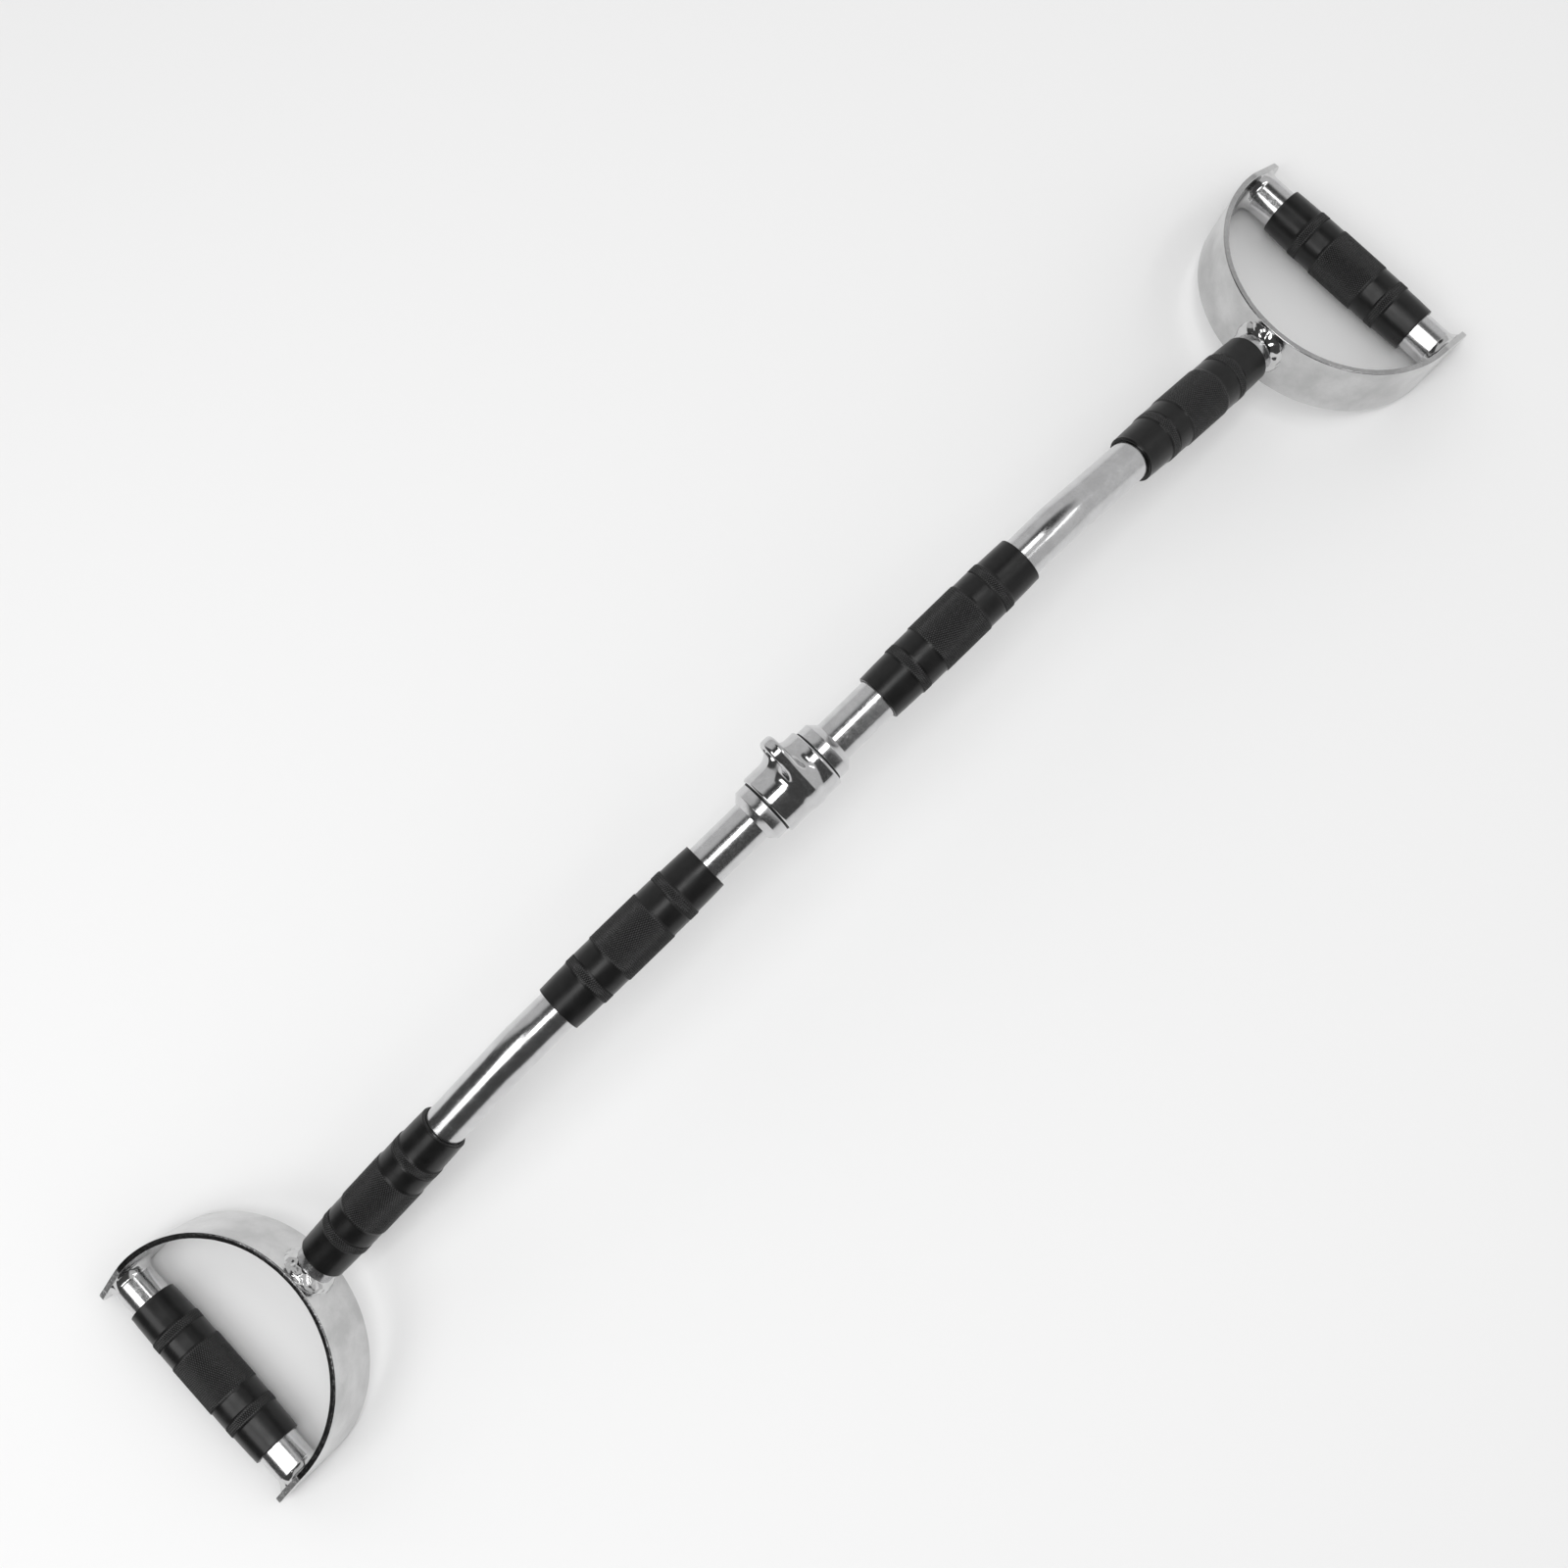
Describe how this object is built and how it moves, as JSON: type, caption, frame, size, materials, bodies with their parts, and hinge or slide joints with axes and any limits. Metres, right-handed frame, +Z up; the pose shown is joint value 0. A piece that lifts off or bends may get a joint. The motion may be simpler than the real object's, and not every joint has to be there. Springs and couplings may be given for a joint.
{
  "type": "cable pull-down bar",
  "caption": "Chromed bar with swept ends, rubber grips, a D-shaped side handle welded on each end and a revolving hanger lug in the middle.",
  "frame": {"origin": "on the floor under the middle of the hanger, with the bar standing on the lower edges of its two D straps", "axes": "+X along the bar, +Y across it, the side the hanger's lug leans to at rest, +Z up"},
  "size_m": [1.1182, 0.181, 0.1615],
  "materials": {
    "chromed_tube": "polished chrome",
    "plated_strap": "chrome plate, softly cloudy",
    "weld_bead": "chrome plate over a lumpy bead",
    "hanger_chrome": "polished chrome",
    "grip_rubber": "satin black, with knurled bands",
    "bush_nylon": "matt black"
  },
  "bodies": {
    "bar": {"main_tube": "chromed_tube", "left_strap": "plated_strap", "right_strap": "plated_strap", "left_bar_weld": "weld_bead", "right_bar_weld": "weld_bead", "left_handle_tube": "chromed_tube", "right_handle_tube": "chromed_tube", "left_front_handle_weld": "weld_bead", "left_back_handle_weld": "weld_bead", "right_front_handle_weld": "weld_bead", "right_back_handle_weld": "weld_bead", "left_inner_grip": "grip_rubber", "right_inner_grip": "grip_rubber", "left_outer_grip": "grip_rubber", "right_outer_grip": "grip_rubber", "left_handle_grip": "grip_rubber", "right_handle_grip": "grip_rubber", "left_collar": "hanger_chrome", "right_collar": "hanger_chrome"},
    "hanger": {"swivel_body": "hanger_chrome", "left_swivel_bush": "bush_nylon", "right_swivel_bush": "bush_nylon"}
  },
  "joints": [
    {"name": "hanger_spin", "type": "hinge", "parent": "bar", "child": "hanger", "pos_m": [0, 0, 0.11994], "axis": [1, 0, 0], "continuous": true}
  ]
}
